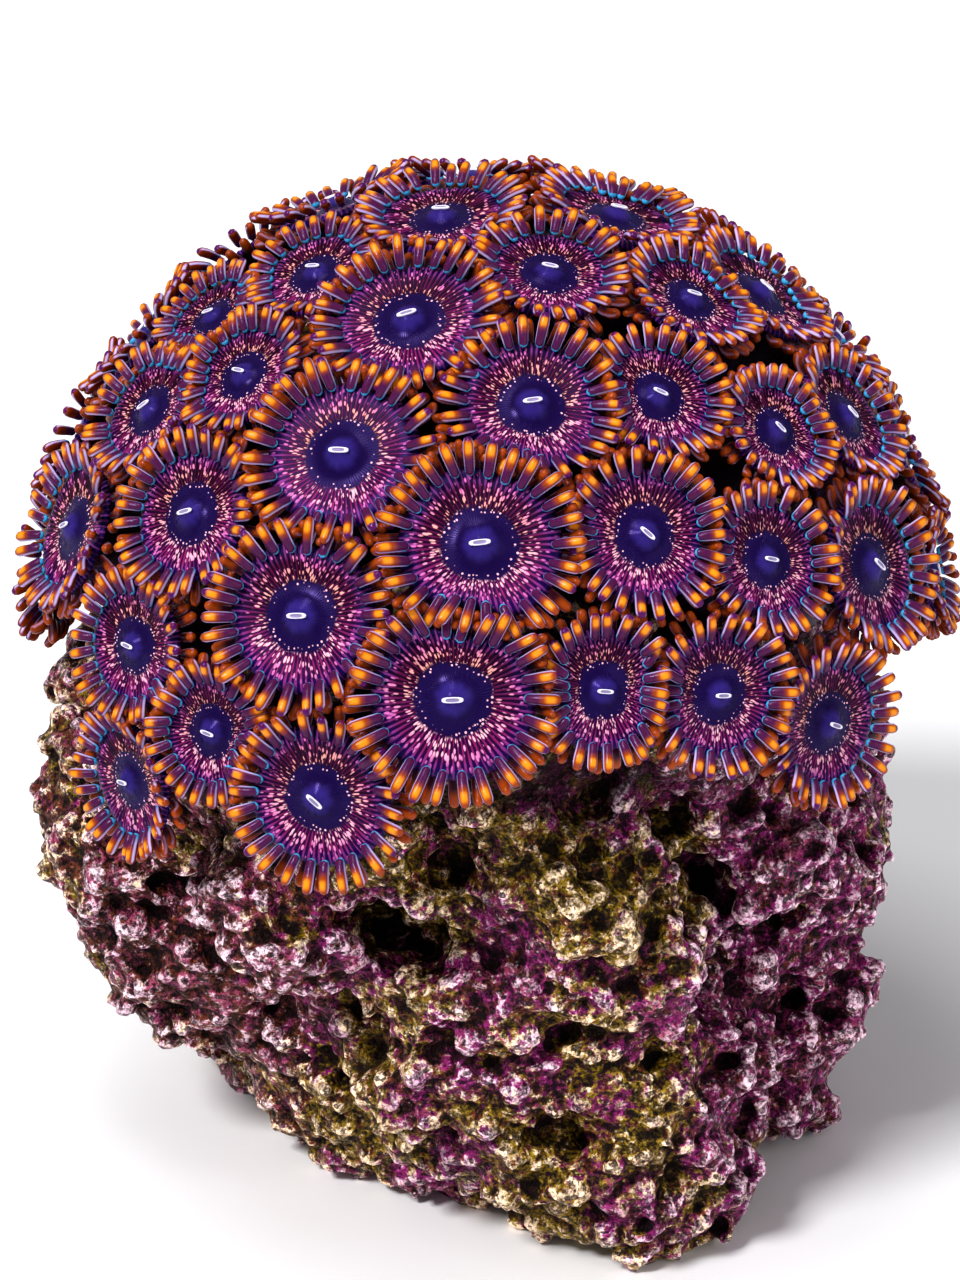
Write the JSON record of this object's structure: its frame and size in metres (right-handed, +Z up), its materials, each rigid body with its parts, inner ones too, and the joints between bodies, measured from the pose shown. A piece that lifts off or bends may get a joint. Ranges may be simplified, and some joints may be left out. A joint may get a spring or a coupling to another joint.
{
  "type": "zoanthid coral",
  "caption": "Colony of button polyps with fringed discs covering the domed top of a lump of encrusted reef rock.",
  "frame": {"origin": "on the flat underside of the rock, below the middle of the colony's dome", "axes": "+Z up, -Y towards the side with the rock's tall buttress, which the picture shows, +X to the right of it"},
  "size_m": [0.069, 0.0693, 0.078],
  "materials": {
    "rock": "rough coralline crust",
    "polyp": "wet soft flesh"
  },
  "bodies": {
    "root": {"live_rock": "rock", "polyp_01": "polyp", "polyp_02": "polyp", "polyp_03": "polyp", "polyp_04": "polyp", "polyp_05": "polyp", "polyp_06": "polyp", "polyp_07": "polyp", "polyp_08": "polyp", "polyp_09": "polyp", "polyp_10": "polyp", "polyp_11": "polyp", "polyp_12": "polyp", "polyp_13": "polyp", "polyp_14": "polyp", "polyp_15": "polyp", "polyp_16": "polyp", "polyp_17": "polyp", "polyp_18": "polyp", "polyp_19": "polyp", "polyp_20": "polyp", "polyp_21": "polyp", "polyp_22": "polyp", "polyp_23": "polyp", "polyp_24": "polyp", "polyp_25": "polyp", "polyp_26": "polyp", "polyp_27": "polyp", "polyp_28": "polyp", "polyp_29": "polyp", "polyp_30": "polyp", "polyp_31": "polyp", "polyp_32": "polyp", "polyp_33": "polyp", "polyp_34": "polyp", "polyp_35": "polyp", "polyp_36": "polyp", "polyp_37": "polyp", "polyp_38": "polyp", "polyp_39": "polyp", "polyp_40": "polyp", "polyp_41": "polyp", "polyp_42": "polyp", "polyp_43": "polyp", "polyp_44": "polyp", "polyp_45": "polyp", "polyp_46": "polyp", "polyp_47": "polyp", "polyp_48": "polyp", "polyp_49": "polyp", "polyp_50": "polyp", "polyp_51": "polyp", "polyp_52": "polyp", "polyp_53": "polyp", "polyp_54": "polyp", "polyp_55": "polyp", "polyp_56": "polyp", "polyp_57": "polyp"}
  },
  "joints": []
}
